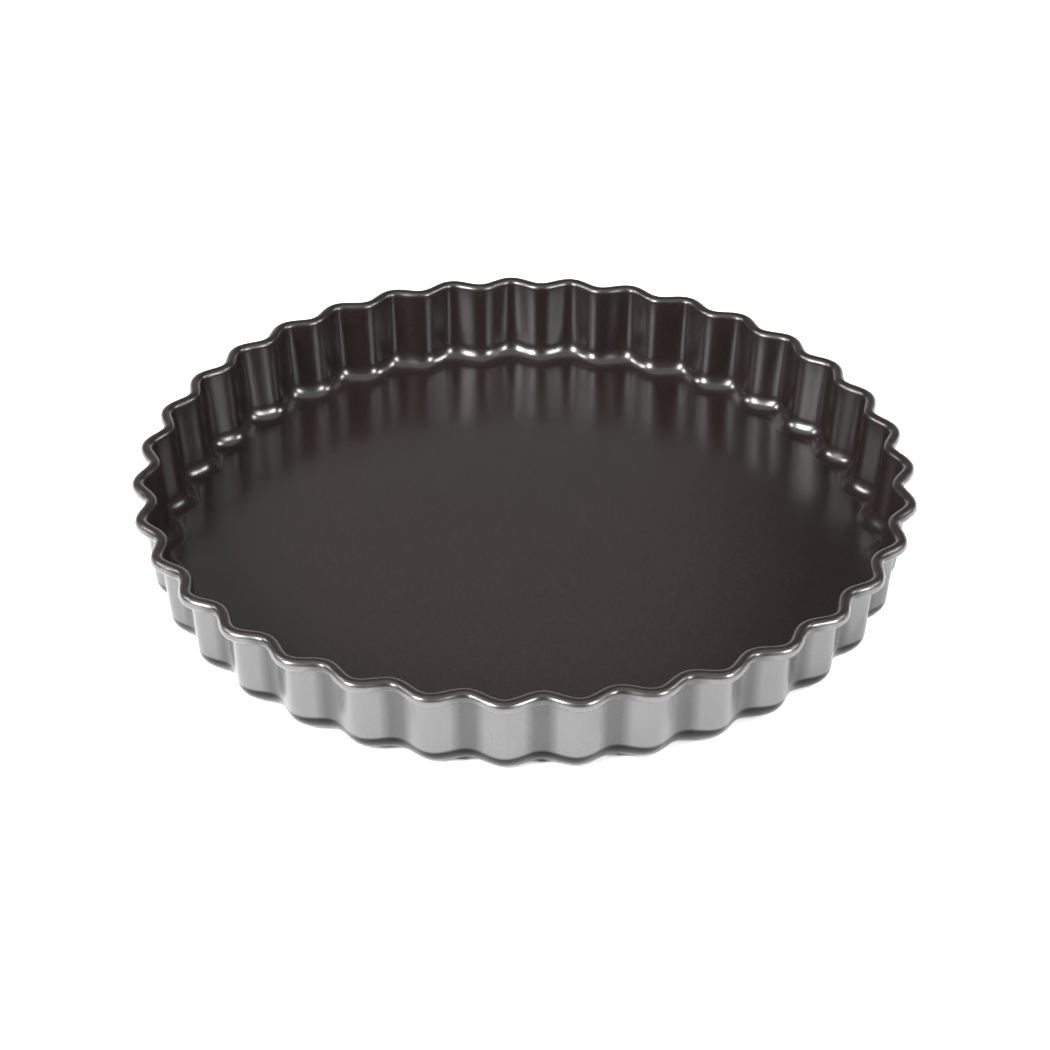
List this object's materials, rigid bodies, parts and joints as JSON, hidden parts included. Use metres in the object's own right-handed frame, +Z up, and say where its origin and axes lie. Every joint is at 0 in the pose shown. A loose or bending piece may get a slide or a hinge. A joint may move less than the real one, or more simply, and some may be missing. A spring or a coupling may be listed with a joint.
{
  "type": "tart pan",
  "caption": "Round shallow tart pan with a fluted, outward-leaning wall, a small rolled rim and a flat fixed base, dark non-stick inside and silver-grey outside.",
  "frame": {"origin": "on the pan's axis at the underside of the base", "axes": "+Z is up out of the pan; +X points at the crest of one flute; +Y completes the right-handed frame"},
  "size_m": [0.2995, 0.2997, 0.036],
  "materials": {
    "sheet_steel": "bare cold-rolled steel at the cut edge and inside the roll",
    "nonstick": "smooth glossy black non-stick film",
    "silver_coat": "glossy silver-grey metallic protective film"
  },
  "bodies": {
    "root": {"pressed_body": "sheet_steel", "nonstick_lining": "nonstick", "outer_coat": "silver_coat"}
  },
  "joints": []
}
